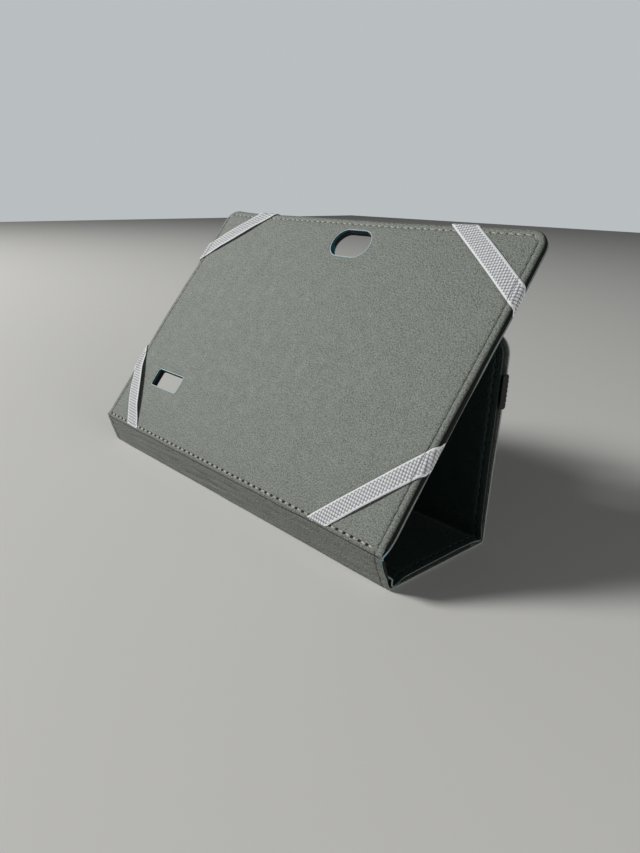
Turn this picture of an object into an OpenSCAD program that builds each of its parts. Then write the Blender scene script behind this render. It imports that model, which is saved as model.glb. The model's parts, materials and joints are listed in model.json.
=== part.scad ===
// Folio case for a tablet, standing as an easel.
// Four flaps are joined by three folds: panel, spine, base and upright.
// The base lies on the floor, the panel leans back, and the upright props it from behind.
// Origin: middle of the base's underside. X runs along the folds, Y points back, Z points up.

/* [Flaps] */
// Width of every flap, along the folds
case_w = 267; // [230:1:300]
// Panel, from its fold axis to its free edge
panel_len = 174; // [160:1:190]
// Spine, from fold axis to fold axis
spine_len = 18.4; // [16:0.2:24]
// Base, from fold axis to fold axis
base_len = 69; // [60:1:80]
// Upright, from its fold axis to its free edge
upright_len = 108; // [100:1:116]
// Radius of the free corners
corner_r = 10.5; // [6:0.5:16]

/* [Pose] */
// Tilt of the panel from the floor, in degrees
panel_tilt = 51.2; // [48:0.1:56]
// Angle of the spine from the floor behind it, in degrees
spine_lean = 108; // [100:0.5:114]
// Gap between the panel's back and the upright's top edge
prop_gap = 0.3; // [0.2:0.1:1]

/* [Layers] */
// Thickness of each leather skin
skin_t = 0.9; // [0.6:0.1:1.1]
// Padding under the panel's face
foam_t = 1.0; // [0.6:0.1:1.5]
// Board inside the panel
panel_board_t = 2.6; // [2:0.1:3]
// Stiffener inside the spine
spine_core_t = 1.2; // [0.8:0.1:1.6]
// Board inside the base
base_board_t = 2.8; // [2:0.1:3]
// Board inside the upright
upright_board_t = 3.0; // [2:0.1:3.2]

/* [Folds] */
// How far the boards of the base and upright stop short of a fold's skin
board_setback = 5; // [0:0.5:8]
// Radius of the rolled leather in each fold
fold_r = 2.2; // [1.8:0.1:2.4]
// Distance from a fold's axis to the flap's edge
fold_gap = 3.2; // [3:0.1:4]

/* [Openings] */
// Camera hole, end to end
camera_l = 31.5; // [20:0.5:40]
// Camera hole, across
camera_h = 18.5; // [14:0.5:20]
// Camera hole's centre, right of the panel's middle
camera_x = 6.5; // [-10:0.5:20]
// Camera hole's centre, above the fold axis
camera_v = 156.5; // [150:0.1:160]
// Speaker hole, along the panel
speaker_l = 30.5; // [20:0.5:40]
// Speaker hole, across
speaker_h = 12; // [11:0.5:16]
// Speaker hole's corner radius
speaker_r = 1.4; // [0.8:0.1:3]
// Speaker hole's centre, left of the panel's middle
speaker_x = 88.7; // [60:0.1:95]
// Speaker hole's centre, above the fold axis
speaker_v = 37; // [30:0.5:60]

/* [Corner straps] */
// Width of the elastic
strap_w = 10.5; // [8:0.5:12]
// Thickness of the elastic
strap_t = 1.1; // [0.8:0.1:1.1]
// Gap under the middle of a strap
strap_gap = 2.2; // [1.6:0.1:2.4]
// Length of the ramp at each end
strap_ramp = 12; // [10:0.5:14]
// Upper straps, from the corner along the free edge
upper_along = 50; // [40:1:60]
// Upper straps, from the corner down the side
upper_down = 37; // [30:1:50]
// Lower straps, from the corner along the fold
lower_along = 45; // [40:1:60]
// Lower straps, from the corner up the side
lower_up = 50; // [40:1:60]

/* [Closure band] */
// Width of the band
band_w = 17; // [12:0.5:20]
// Thickness of the band
band_t = 1.3; // [1:0.1:1.5]
// Gap between the band and the upright
band_gap = 0.3; // [0.2:0.1:0.6]
// Middle of the band, above the upright's fold axis
band_v = 80; // [60:1:90]
// Length of each fixed end, in from the side
band_end = 12; // [8:1:20]

/* [Thread] */
// Distance from a flap's edge to its seam
seam_inset = 4; // [3:0.1:5]
// Width of the thread
thread_w = 0.7; // [0.5:0.1:0.9]
// Depth of the thread in the leather
thread_d = 0.3; // [0.2:0.05:0.4]

/* [Hidden] */
leather_grey = [0.55, 0.55, 0.52];
leather_dark = [0.07, 0.12, 0.13];
board_brown = [0.60, 0.52, 0.40];
foam_white = [0.88, 0.88, 0.84];
elastic_grey = [0.76, 0.77, 0.75];
elastic_black = [0.10, 0.10, 0.11];
thread_beige = [0.72, 0.71, 0.64];
round_fn = 48;
// Gap between the two skins, round the edge of a flap
skin_split = 0.3;
// Thickness of the web in a fold
web_t = 2;
// How far a strap or band turns down over a flap's edge
wrap_depth = 2.2;
// Highest point of a strap above the panel's face
strap_rise = strap_gap + strap_t;
// Length of the flat foot and head of a strap's ramp
ramp_foot = 1;
// How far a cutting shape runs past the surface that it cuts
cut = 1;
// How far a flap's hollow runs past its skin, where the skin has no edge to wrap
open_end = 1;
// Distance from a seam's end to the end of the skin
seam_end = 1;

panel_t = skin_t + foam_t + panel_board_t + skin_t;
spine_t = skin_t + spine_core_t + skin_t;
base_t = skin_t + base_board_t + skin_t;
upright_t = skin_t + upright_board_t + skin_t;

// Fold axes in the YZ plane, at rest.
front_fold = [-base_len / 2, fold_r];
rear_fold = [base_len / 2, fold_r];
panel_fold = front_fold + spine_len * [cos(spine_lean), sin(spine_lean)];

// The upright leans until its top front edge is prop_gap away from the panel's back.
to_back = [sin(panel_tilt), -cos(panel_tilt)];
reach = sqrt(pow(upright_len, 2) + pow(upright_t - fold_r, 2));
offset_angle = atan2(upright_t - fold_r, upright_len);
fold_to_back = (rear_fold - panel_fold) * to_back - (panel_t - fold_r) - prop_gap;
upright_lean = panel_tilt + asin(fold_to_back / reach) - offset_angle;

// Flap frame: x along the fold, y from the fold axis to the free edge, z from inner face to outer face.
module at_panel() translate([0, panel_fold.x, panel_fold.y]) rotate([panel_tilt, 0, 0])
    translate([0, 0, fold_r]) mirror([0, 0, 1]) children();
module at_spine() translate([0, front_fold.x, front_fold.y]) rotate([spine_lean, 0, 0])
    translate([0, 0, fold_r]) mirror([0, 0, 1]) children();
module at_base() translate([0, front_fold.x, 0]) children();
module at_upright() translate([0, rear_fold.x, rear_fold.y]) rotate([upright_lean, 0, 0])
    translate([0, 0, -fold_r]) children();

// Outline of a flap with a free edge. grow moves its sides and free edge outwards.
module free_outline(len, grow = 0, start = fold_gap) {
    half = case_w / 2 + grow;
    top = len + grow;
    r = corner_r + grow;
    translate([-half, start]) square([2 * half, top - r - start]);
    translate([r - half, start]) square([2 * (half - r), top - start]);
    for (side = [-1, 1])
        translate([side * (half - r), top - r]) circle(r = r, $fn = round_fn);
}

// Outline of a flap between two folds.
module band_outline(len, grow = 0, end_grow = 0) {
    half = case_w / 2 + grow;
    start = fold_gap - end_grow;
    translate([-half, start]) square([2 * half, len - 2 * start]);
}

module camera_shape() {
    straight = camera_l - camera_h;
    translate([camera_x, camera_v]) {
        square([straight, camera_h], center = true);
        for (side = [-1, 1]) translate([side * straight / 2, 0]) circle(d = camera_h, $fn = round_fn);
    }
}

module speaker_shape() {
    half = [speaker_l / 2 - speaker_r, speaker_h / 2 - speaker_r];
    translate([-speaker_x, speaker_v]) {
        square([speaker_l, 2 * half.y], center = true);
        square([2 * half.x, speaker_h], center = true);
        for (a = [-1, 1], b = [-1, 1])
            translate([a * half.x, b * half.y]) circle(r = speaker_r, $fn = round_fn);
    }
}

module panel_holes() translate([0, 0, -cut]) linear_extrude(panel_t + 2 * cut) {
    camera_shape();
    speaker_shape();
}

// Closed seam lines: a ring of thread, inside the flap's outline.
module free_seam(len) difference() {
    free_outline(len, -seam_inset + thread_w / 2, fold_gap + seam_end);
    free_outline(len, -seam_inset - thread_w / 2, fold_gap + seam_end + thread_w);
}

module band_seam(len) difference() {
    band_outline(len, -seam_inset + thread_w / 2, -seam_end);
    band_outline(len, -seam_inset - thread_w / 2, -seam_end - thread_w);
}

// A skin wraps over the edge of the core and meets the other skin half-way down.
// Children: outline of the flap, outline of the core inside it, seam line.
module inner_skin(flap_t) difference() {
    linear_extrude(flap_t / 2 - skin_split / 2) children(0);
    translate([0, 0, skin_t]) linear_extrude(flap_t) children(1);
    translate([0, 0, -cut]) linear_extrude(cut + thread_d) children(2);
}

module outer_skin(flap_t) difference() {
    translate([0, 0, flap_t / 2 + skin_split / 2]) linear_extrude(flap_t / 2 - skin_split / 2) children(0);
    translate([0, 0, -skin_t]) linear_extrude(flap_t) children(1);
    translate([0, 0, flap_t - thread_d]) linear_extrude(thread_d + cut) children(2);
}

// The spine has a seam near each side and none along its folds.
module side_seam(len) for (side = [-1, 1])
    translate([side * (case_w / 2 - seam_inset) - thread_w / 2, fold_gap + seam_end])
        square([thread_w, len - 2 * (fold_gap + seam_end)]);

module two_seams(flap_t) for (z = [0, flap_t - thread_d])
    translate([0, 0, z]) linear_extrude(thread_d) children();

// A rolled fold with a web that reaches the flap it is sewn to, which lies towards +y.
module fold_roll() {
    rotate([0, 90, 0]) cylinder(r = fold_r, h = case_w, center = true, $fn = round_fn);
    translate([-case_w / 2, 0, -web_t / 2]) cube([case_w, fold_gap, web_t]);
}

// Panel
module panel_core(thickness, from) translate([0, 0, from]) difference() {
    linear_extrude(thickness) free_outline(panel_len, -skin_t);
    translate([0, 0, -from]) panel_holes();
}

module panel_face_leather() color(leather_grey) at_panel() difference() {
    inner_skin(panel_t) {
        free_outline(panel_len);
        free_outline(panel_len, -skin_t, 0);
        free_seam(panel_len);
    }
    panel_holes();
}

module panel_foam() color(foam_white) at_panel() panel_core(foam_t, skin_t);

module panel_board() color(board_brown) at_panel() panel_core(panel_board_t, skin_t + foam_t);

module panel_back_leather() color(leather_dark) at_panel() difference() {
    outer_skin(panel_t) {
        free_outline(panel_len);
        free_outline(panel_len, -skin_t, 0);
        free_seam(panel_len);
    }
    panel_holes();
}

module panel_thread() color(thread_beige) at_panel() two_seams(panel_t) free_seam(panel_len);

module panel_fold_strip() color(leather_grey) at_panel() translate([0, 0, fold_r]) fold_roll();

// Spine
module spine_face_leather() color(leather_grey) at_spine() inner_skin(spine_t) {
    band_outline(spine_len);
    band_outline(spine_len, -skin_t, open_end);
    side_seam(spine_len);
}

module spine_stiffener() color(board_brown) at_spine() translate([0, 0, skin_t])
    linear_extrude(spine_core_t) band_outline(spine_len, -skin_t);

module spine_back_leather() color(leather_dark) at_spine() outer_skin(spine_t) {
    band_outline(spine_len);
    band_outline(spine_len, -skin_t, open_end);
    side_seam(spine_len);
}

module spine_thread() color(thread_beige) at_spine() two_seams(spine_t) side_seam(spine_len);

// Base
module base_lining_leather() color(leather_grey) at_base() inner_skin(base_t) {
    band_outline(base_len);
    band_outline(base_len, -skin_t, open_end);
    band_seam(base_len);
}

module base_board() color(board_brown) at_base() translate([0, 0, skin_t])
    linear_extrude(base_board_t) band_outline(base_len, -skin_t, -board_setback);

module base_outer_leather() color(leather_dark) at_base() outer_skin(base_t) {
    band_outline(base_len);
    band_outline(base_len, -skin_t, open_end);
    band_seam(base_len);
}

module base_thread() color(thread_beige) at_base() two_seams(base_t) band_seam(base_len);

module front_fold_strip() color(leather_grey) at_base() translate([0, 0, fold_r]) fold_roll();

module rear_fold_strip() color(leather_grey) at_base()
    translate([0, base_len, fold_r]) mirror([0, 1, 0]) fold_roll();

// Upright
module upright_lining_leather() color(leather_grey) at_upright() inner_skin(upright_t) {
    free_outline(upright_len);
    free_outline(upright_len, -skin_t, 0);
    free_seam(upright_len);
}

module upright_board() color(board_brown) at_upright() translate([0, 0, skin_t])
    linear_extrude(upright_board_t) free_outline(upright_len, -skin_t, fold_gap + board_setback);

module upright_outer_leather() color(leather_dark) at_upright() outer_skin(upright_t) {
    free_outline(upright_len);
    free_outline(upright_len, -skin_t, 0);
    free_seam(upright_len);
}

module upright_thread() color(thread_beige) at_upright() two_seams(upright_t) free_seam(upright_len);

// Corner straps. A strap runs from its side anchor, over a gap, to its end anchor on the fold or free edge.
function side_anchor(side, upper) = [side * case_w / 2, upper ? panel_len - upper_down : lower_up];
function end_anchor(side, upper) =
    [side * (case_w / 2 - (upper ? upper_along : lower_along)), upper ? panel_len : 0];
function strap_span(upper) = norm(end_anchor(1, upper) - side_anchor(1, upper));

module at_strap(side, upper) {
    start = side_anchor(side, upper);
    run = end_anchor(side, upper) - start;
    at_panel() translate([start.x, start.y, 0]) rotate([0, 0, atan2(run.y, run.x)]) children();
}

module strap_bar(from, to) translate([from, -strap_w / 2, -strap_gap - strap_t])
    cube([to - from, strap_w, strap_t]);

module strap(side, upper) color(elastic_grey) at_strap(side, upper)
    strap_bar(strap_ramp, strap_span(upper) - strap_ramp);

// Side view of a strap's end, from well outside the edge to the top of the ramp.
module ramp_side() polygon([
    [-strap_w, 0], [ramp_foot, 0], [strap_ramp - ramp_foot, -strap_gap], [strap_ramp, -strap_gap],
    [strap_ramp, -strap_rise], [strap_ramp - ramp_foot, -strap_rise],
    [ramp_foot, -strap_t], [-strap_w, -strap_t]
]);

module strap_ramp_end() rotate([90, 0, 0])
    linear_extrude(strap_w, center = true) ramp_side();

// The part of a strap that turns over the panel's edge and goes in between the skins.
module edge_wrap(outline_len) translate([0, 0, -strap_t]) linear_extrude(strap_t + wrap_depth) difference() {
    free_outline(outline_len, strap_t);
    free_outline(outline_len);
}

// A block as wide as a strap, round each end of it.
module end_block() translate([-strap_w, -strap_w / 2, -strap_t - cut])
    cube([2 * strap_w, strap_w, strap_t + wrap_depth + 2 * cut]);

module strap_footprint(side, upper) at_strap(side, upper) {
    end_block();
    translate([strap_span(upper), 0, 0]) end_block();
}

module strap_ends(side, upper) color(elastic_grey) {
    intersection() {
        at_strap(side, upper) {
            strap_ramp_end();
            translate([strap_span(upper), 0, 0]) mirror([1, 0, 0]) strap_ramp_end();
        }
        at_panel() translate([0, 0, -strap_rise]) linear_extrude(strap_rise)
            free_outline(panel_len, strap_t);
    }
    intersection() {
        strap_footprint(side, upper);
        at_panel() edge_wrap(panel_len);
    }
}

module upper_left_strap() strap(-1, true);
module upper_right_strap() strap(1, true);
module lower_left_strap() strap(-1, false);
module lower_right_strap() strap(1, false);
module upper_left_strap_ends() strap_ends(-1, true);
module upper_right_strap_ends() strap_ends(1, true);
module lower_left_strap_ends() strap_ends(-1, false);
module lower_right_strap_ends() strap_ends(1, false);

// Closure band, across the upright's inner face.
module closure_band() color(elastic_black) at_upright()
    translate([band_end - case_w / 2, band_v - band_w / 2, -band_gap - band_t])
        cube([case_w - 2 * band_end, band_w, band_t]);

module closure_band_ends() color(elastic_black) at_upright() for (side = [0, 1])
    mirror([side, 0, 0]) translate([case_w / 2, band_v - band_w / 2, 0]) {
        translate([-band_end, 0, -band_gap - band_t]) cube([band_end + band_t, band_w, band_gap + band_t]);
        translate([0, 0, -band_gap - band_t]) cube([band_t, band_w, band_gap + band_t + wrap_depth]);
    }

panel_face_leather();
panel_foam();
panel_board();
panel_back_leather();
panel_thread();
spine_face_leather();
spine_stiffener();
spine_back_leather();
spine_thread();
base_lining_leather();
base_board();
base_outer_leather();
base_thread();
upright_lining_leather();
upright_board();
upright_outer_leather();
upright_thread();
panel_fold_strip();
front_fold_strip();
rear_fold_strip();
upper_left_strap();
upper_right_strap();
lower_left_strap();
lower_right_strap();
upper_left_strap_ends();
upper_right_strap_ends();
lower_left_strap_ends();
lower_right_strap_ends();
closure_band();
closure_band_ends();
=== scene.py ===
import json
import math

import bmesh
import bpy
import numpy as np
from mathutils import Matrix, Vector


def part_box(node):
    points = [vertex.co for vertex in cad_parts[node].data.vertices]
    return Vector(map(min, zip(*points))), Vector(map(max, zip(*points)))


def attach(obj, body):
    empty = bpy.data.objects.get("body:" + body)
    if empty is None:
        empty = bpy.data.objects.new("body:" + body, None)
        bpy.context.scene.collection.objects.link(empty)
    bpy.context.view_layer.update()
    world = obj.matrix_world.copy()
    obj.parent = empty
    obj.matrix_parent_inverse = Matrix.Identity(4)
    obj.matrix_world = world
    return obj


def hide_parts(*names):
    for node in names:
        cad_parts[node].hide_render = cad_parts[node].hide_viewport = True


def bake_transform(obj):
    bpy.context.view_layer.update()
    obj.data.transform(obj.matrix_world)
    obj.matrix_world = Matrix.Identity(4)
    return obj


# Folio case for a tablet, standing as an easel. Lengths are in metres; mm turns millimetres into them.
mm = 0.001
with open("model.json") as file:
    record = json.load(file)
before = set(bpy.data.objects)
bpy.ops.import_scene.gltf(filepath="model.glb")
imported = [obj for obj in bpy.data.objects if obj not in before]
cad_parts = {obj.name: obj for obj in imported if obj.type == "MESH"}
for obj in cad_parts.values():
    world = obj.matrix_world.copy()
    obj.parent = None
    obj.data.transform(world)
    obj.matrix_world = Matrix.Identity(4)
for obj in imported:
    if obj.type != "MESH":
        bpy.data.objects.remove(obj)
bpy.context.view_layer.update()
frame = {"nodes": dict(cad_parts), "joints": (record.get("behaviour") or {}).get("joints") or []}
joints = {joint["name"]: joint for joint in frame["joints"]}


# flaps: their folds, directions, lengths and thicknesses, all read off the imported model
def nodeCoords(node):
    mesh = frame["nodes"][node].data
    co = np.empty(len(mesh.vertices) * 3, np.float32)
    mesh.vertices.foreach_get("co", co)
    return co.reshape(-1, 3).astype(float)[:, 1:]


def makeFlap(fold, along, depth, inner, outer):
    # along runs from the fold to the far edge and depth from the inner face to the outer one
    fold, along, depth = (np.array(value, float) for value in (fold, along, depth))
    face = ((nodeCoords(inner) - fold) @ depth).min()
    back = ((nodeCoords(outer) - fold) @ depth).max()
    return {"fold": fold, "along": along, "depth": depth, "face": face, "thick": back - face}


foldOf = {name: np.array(joints[name]["pos_m"][1:]) for name in ("panel_fold", "front_fold", "rear_fold")}
panelFace = np.array(joints["upper_left_strap_lift"]["axis"][1:])
uprightBack = np.array(joints["band_lift"]["axis"][1:])
spineRise = foldOf["panel_fold"] - foldOf["front_fold"]
spineLen = float(np.linalg.norm(spineRise))
spineRise = spineRise / spineLen
baseLen = float(foldOf["rear_fold"][0] - foldOf["front_fold"][0])
flaps = {
    "panel": makeFlap(foldOf["panel_fold"], (panelFace[1], -panelFace[0]), -panelFace,
                      "panel_face_leather", "panel_back_leather"),
    "spine": makeFlap(foldOf["front_fold"], spineRise, (spineRise[1], -spineRise[0]),
                      "spine_face_leather", "spine_back_leather"),
    "base": makeFlap(foldOf["front_fold"], (1, 0), (0, 1), "base_lining_leather", "base_outer_leather"),
    "upright": makeFlap(foldOf["rear_fold"], (-uprightBack[1], uprightBack[0]), -uprightBack,
                        "upright_lining_leather", "upright_outer_leather"),
}


def flapReach(name, node):
    # how far a flap's leather runs from its fold
    return float(((nodeCoords(node) - flaps[name]["fold"]) @ flaps[name]["along"]).max())


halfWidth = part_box("panel_face_leather")[1].x
panelLen = flapReach("panel", "panel_face_leather")
uprightLen = flapReach("upright", "upright_lining_leather")
foldR = -flaps["panel"]["face"]


def onFlap(name, v, w):
    # the point v along a flap and w below its inner face, as y and z
    flap = flaps[name]
    return flap["fold"] + v * flap["along"] + (flap["face"] + w) * flap["depth"]


print("flaps read from the frame: panel %.1f mm, upright %.1f mm" % (panelLen / mm, uprightLen / mm))


# camera, floor and light
view = {
    "place": (0.32063, -0.25102, 0.17631),
    "yaw": -47.733, "pitch": 18.867, "roll": 1.055,  # degrees
    "lens": 29.80, "sensor": 36.0,
}


def makeCamera():
    yaw, pitch, roll = (math.radians(view[key]) for key in ("yaw", "pitch", "roll"))
    ahead = Vector((math.sin(yaw) * math.cos(pitch), math.cos(yaw) * math.cos(pitch), -math.sin(pitch)))
    level = Vector((math.cos(yaw), -math.sin(yaw), 0))
    top = level.cross(ahead)
    right = level * math.cos(roll) + top * math.sin(roll)
    up = top * math.cos(roll) - level * math.sin(roll)
    data = bpy.data.cameras.new("camera")
    data.sensor_width = view["sensor"]
    data.lens = view["lens"]
    data.clip_start = 0.01
    data.clip_end = 20
    camera = bpy.data.objects.new("camera", data)
    bpy.context.scene.collection.objects.link(camera)
    turn = Matrix((right, up, -ahead)).transposed().to_4x4()
    camera.matrix_world = Matrix.Translation(view["place"]) @ turn
    bpy.context.scene.camera = camera


studio = {
    "floorHex": "#d9d8d4", "floorSize": 6.0,
    "skyHex": "#dfe6e8", "skyPower": 0.06, "wallPower": 0.66,
    "keyPlace": (-2.0, -1.4, 1.85), "keySize": 0.8, "keyPower": 85.0,
    "fillPlace": (1.25, -0.15, 0.3), "fillSize": 0.5, "fillPower": 4.5,
}


def linear(code):
    # an sRGB hex code as linear red, green, blue and alpha
    parts = [int(code[i:i + 2], 16) / 255 for i in (1, 3, 5)]
    return tuple(c / 12.92 if c <= 0.04045 else ((c + 0.055) / 1.055) ** 2.4 for c in parts) + (1.0,)


def addNode(tree, kind, values=(), out=0, **settings):
    # one node with its settings, giving back one of its outputs; values, by name or in order, are numbers,
    # colours or other nodes' outputs for its inputs
    node = tree.nodes.new("ShaderNode" + kind)
    for name, value in settings.items():
        setattr(node, name, value)
    for name, value in values.items() if isinstance(values, dict) else enumerate(values):
        if isinstance(value, bpy.types.NodeSocket):
            tree.links.new(value, node.inputs[name])
        else:
            node.inputs[name].default_value = value
    return node.outputs[out]


def makeStudio():
    scene = bpy.context.scene
    scene.view_settings.view_transform = "Standard"
    world = bpy.data.worlds.new("studio")
    world.use_nodes = True
    tree = world.node_tree
    sky = tree.nodes["Background"]
    sky.inputs["Color"].default_value = linear(studio["skyHex"])
    # the camera sees the wall paler than it lights the case, so that hollows stay dark
    seen = addNode(tree, "LightPath", out="Is Camera Ray")
    power = addNode(tree, "MapRange", [seen, 0.0, 1.0, studio["skyPower"], studio["wallPower"]])
    tree.links.new(power, sky.inputs["Strength"])
    scene.world = world
    for name in ("key", "fill"):
        lamp = bpy.data.lights.new(name, "AREA")
        lamp.size = studio[name + "Size"]
        lamp.energy = studio[name + "Power"]
        lampObject = bpy.data.objects.new(name, lamp)
        scene.collection.objects.link(lampObject)
        place = Vector(studio[name + "Place"])
        lampObject.location = place
        lampObject.rotation_euler = (Vector((0, 0, 0.05)) - place).to_track_quat("-Z", "Y").to_euler()
    half = studio["floorSize"] / 2
    mesh = bpy.data.meshes.new("floor")
    corners = [(-half, -half, 0), (half, -half, 0), (half, half, 0), (-half, half, 0)]
    mesh.from_pydata(corners, [], [(0, 1, 2, 3)])
    floor = bpy.data.objects.new("floor", mesh)
    scene.collection.objects.link(floor)
    floorMat = bpy.data.materials.new("paintedFloor")
    floorMat.use_nodes = True
    shader = floorMat.node_tree.nodes["Principled BSDF"]
    shader.inputs["Base Color"].default_value = linear(studio["floorHex"])
    shader.inputs["Roughness"].default_value = 0.7
    mesh.materials.append(floorMat)


makeCamera()
makeStudio()
print("camera, light and floor are in place")


# materials
def newMaterial(name, finish):
    # finish holds the shader's values that are the same all over
    material = bpy.data.materials.new(name)
    material.use_nodes = True
    tree = material.node_tree
    shader = tree.nodes["Principled BSDF"]
    for socket, value in finish.items():
        shader.inputs[socket].default_value = value
    return material, tree, shader


def stained(tree, colour, other, mask, low=0.0, high=1.0, most=1.0):
    # a colour that turns into another as the mask goes from low to high, up to the share most
    share = addNode(tree, "MapRange", [mask, low, high, 0.0, most])
    return addNode(tree, "Mix", {0: share, 6: colour, 7: other}, 2, data_type="RGBA")


leatherLook = {
    "grey": {"mid": "#737871", "pale": "#8f948b", "deep": "#525751", "rough": 0.6},
    "teal": {"mid": "#172825", "pale": "#1f332f", "deep": "#101d1b", "rough": 0.48},
    # painted shade: the lining's turned edge and its cut edge darken to this near-black over the roll, where
    # they turn away from the light; roughness rises there too
    "hemShadeHex": "#0b0d0c", "hemShadeRough": 0.95,
    # size in mm, detail and raggedness of the buffing's clouds, of smudges and of the fine grain
    "mottle": (26.0, 4.0, 0.6), "smudge": (7.0, 3.0, 0.55), "fineGrain": (0.75, 3.0, 0.6),
    "grain": 1.0 * mm, "grainDepth": 0.20 * mm, "fineDepth": 0.12 * mm,
}


def splitLeather(name, tone):
    # Polyurethane-coated split leather, embossed with a fine pebble and matt finished: soft highlights,
    # cloudy colour from the buffing, grain that breaks the light up. The turned edge is painted near-black as
    # painted shade where it rolls away from the light.
    mid, pale, deep = (linear(leatherLook[tone][key]) for key in ("mid", "pale", "deep"))
    rough = leatherLook[tone]["rough"]
    material, tree, shader = newMaterial(name, {"Roughness": rough, "IOR": 1.46, "Specular IOR Level": 0.4,
                                                "Sheen Weight": 0.03, "Sheen Roughness": 0.5})
    spot = addNode(tree, "UVMap", uv_map="flat")  # the skin's own flat-cut coordinates, in metres
    cloud, smudge, fine = (
        addNode(tree, "TexNoise",
                {"Vector": spot, "Scale": 1 / (size * mm), "Detail": detail, "Roughness": ragged})
        for size, detail, ragged in (leatherLook[key] for key in ("mottle", "smudge", "fineGrain")))
    cells = {"Vector": spot, "Scale": 1 / leatherLook["grain"]}
    pebble = addNode(tree, "TexVoronoi", cells, feature="SMOOTH_F1")
    paintedShade = addNode(tree, "Attribute", out="Fac", attribute_name="level")
    colour = stained(tree, mid, deep, cloud, 0.35, 0.65, 0.25)
    colour = stained(tree, colour, pale, smudge, 0.45, 0.75, 0.2)
    # partly the finish's own tone and partly painted shade and highlight: the pebble's hollows turn deep and
    # the fine grain's tops pale, in step with the bump below
    colour = stained(tree, colour, deep, pebble, 0.25, 0.65, 0.9)
    colour = stained(tree, colour, pale, fine, 0.46, 0.58, 0.9)
    # painted shade: the colour goes near-black where the level attribute is high, over the lining's turned
    # edge and in the spine's crease and wrinkle troughs
    colour = stained(tree, colour, linear(leatherLook["hemShadeHex"]), paintedShade)
    dull = addNode(tree, "MapRange", [smudge, 0.3, 0.7, rough - 0.05, rough + 0.07])
    shadeDull = addNode(tree, "Math", [paintedShade, leatherLook["hemShadeRough"]], operation="MULTIPLY")
    height = addNode(tree, "MapRange", [pebble, 0.0, 0.8, 1.0, 0.0])
    low = addNode(tree, "Bump", {"Height": height, "Distance": leatherLook["grainDepth"]})
    top = addNode(tree, "Bump", {"Height": fine, "Distance": leatherLook["fineDepth"], "Normal": low})
    tree.links.new(colour, shader.inputs["Base Color"])
    tree.links.new(addNode(tree, "Math", [dull, shadeDull], operation="MAXIMUM"), shader.inputs["Roughness"])
    tree.links.new(top, shader.inputs["Normal"])
    return material


# the fibre's size and relief in mm, the detail of its noise and its roughness
fibreKinds = {
    "cutEdge": (0.5, 0.08, 3.0, 0.85),
    "board": (0.6, 0.1, 4.0, 0.9),
    "sponge": (0.5, 0.1, 4.0, 0.9),
}


def rawFibre(name, kind, code, fleck, tint=None):
    # Bare fibre with no coat: the cut edge of leather, pale and slightly furry, or the grey board and sponge
    # inside the flaps. No shine. A tint paints shade where the lining's edge rolls away from the light, and a
    # highlight where the outer skin's cut edge catches it at the fold.
    size, relief, detail, rough = fibreKinds[kind]
    material, tree, shader = newMaterial(name, {"Roughness": rough})
    spot = addNode(tree, "TexCoord", out="Object")
    fibre = addNode(tree, "TexNoise",
                    {"Vector": spot, "Scale": 1 / (size * mm), "Detail": detail, "Roughness": 0.7})
    colour = stained(tree, linear(fleck), linear(code), fibre, 0.35, 0.65)
    if tint:
        level = addNode(tree, "Attribute", out="Fac", attribute_name="level")
        colour = stained(tree, colour, linear(tint), level)
    tree.links.new(colour, shader.inputs["Base Color"])
    bump = addNode(tree, "Bump", {"Height": fibre, "Distance": relief * mm})
    tree.links.new(bump, shader.inputs["Normal"])
    return material


# widths of a thread's ply, of an elastic's yarn and of its fuzz, and how high they stand; the wave pattern's
# scale is one over 6.3 times the width of a ridge
yarnLook = {
    "ply": 0.9 * mm, "plyDepth": 0.06 * mm,
    "yarn": 0.42 * mm, "fuzz": 0.35 * mm, "yarnDepth": 0.05 * mm,
}


def spunThread(name, code, fleck):
    # Bonded polyester sewing thread, three plies twisted: slight silky shine with fine slanted ridges.
    material, tree, shader = newMaterial(name, {"Roughness": 0.55, "Sheen Weight": 0.2})
    spot = addNode(tree, "TexCoord", out="Object")
    ply = addNode(tree, "TexWave", {"Vector": spot, "Scale": 1 / yarnLook["ply"] / 6.3, "Distortion": 1.5},
                  "Fac", bands_direction="DIAGONAL")
    tree.links.new(stained(tree, linear(fleck), linear(code), ply), shader.inputs["Base Color"])
    bump = addNode(tree, "Bump", {"Height": ply, "Distance": yarnLook["plyDepth"]})
    tree.links.new(bump, shader.inputs["Normal"])
    return material


def wovenElastic(name, code, pale, deep, rough):
    # Woven polyester over rubber cores: the relief is in the mesh, the yarn's fine ribs and fuzz are here,
    # and the colour darkens in the relief's hollows as painted shade.
    finish = {"Roughness": rough, "Sheen Weight": 0.25, "Sheen Roughness": 0.4}
    material, tree, shader = newMaterial(name, finish)
    spot = addNode(tree, "UVMap", uv_map="flat")
    yarn = addNode(tree, "TexWave", {"Vector": spot, "Scale": 1 / yarnLook["yarn"] / 6.3, "Distortion": 2.0,
                                     "Detail Scale": 2.0}, "Fac", bands_direction="DIAGONAL")
    fuzz = addNode(tree, "TexNoise", {"Vector": spot, "Scale": 1 / yarnLook["fuzz"], "Detail": 3.0,
                                      "Roughness": 0.65})
    height = addNode(tree, "Attribute", out="Fac", attribute_name="level")
    # painted shade: the colour turns deep in the weave's hollows, following the mesh's relief
    colour = stained(tree, linear(deep), linear(code), height, 0.12, 0.72)
    colour = stained(tree, colour, linear(pale), fuzz, 0.45, 0.75, 0.7)
    low = addNode(tree, "Bump", {"Height": yarn, "Distance": yarnLook["yarnDepth"]})
    top = addNode(tree, "Bump", {"Height": fuzz, "Distance": yarnLook["yarnDepth"], "Normal": low})
    tree.links.new(colour, shader.inputs["Base Color"])
    tree.links.new(top, shader.inputs["Normal"])
    return material


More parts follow.
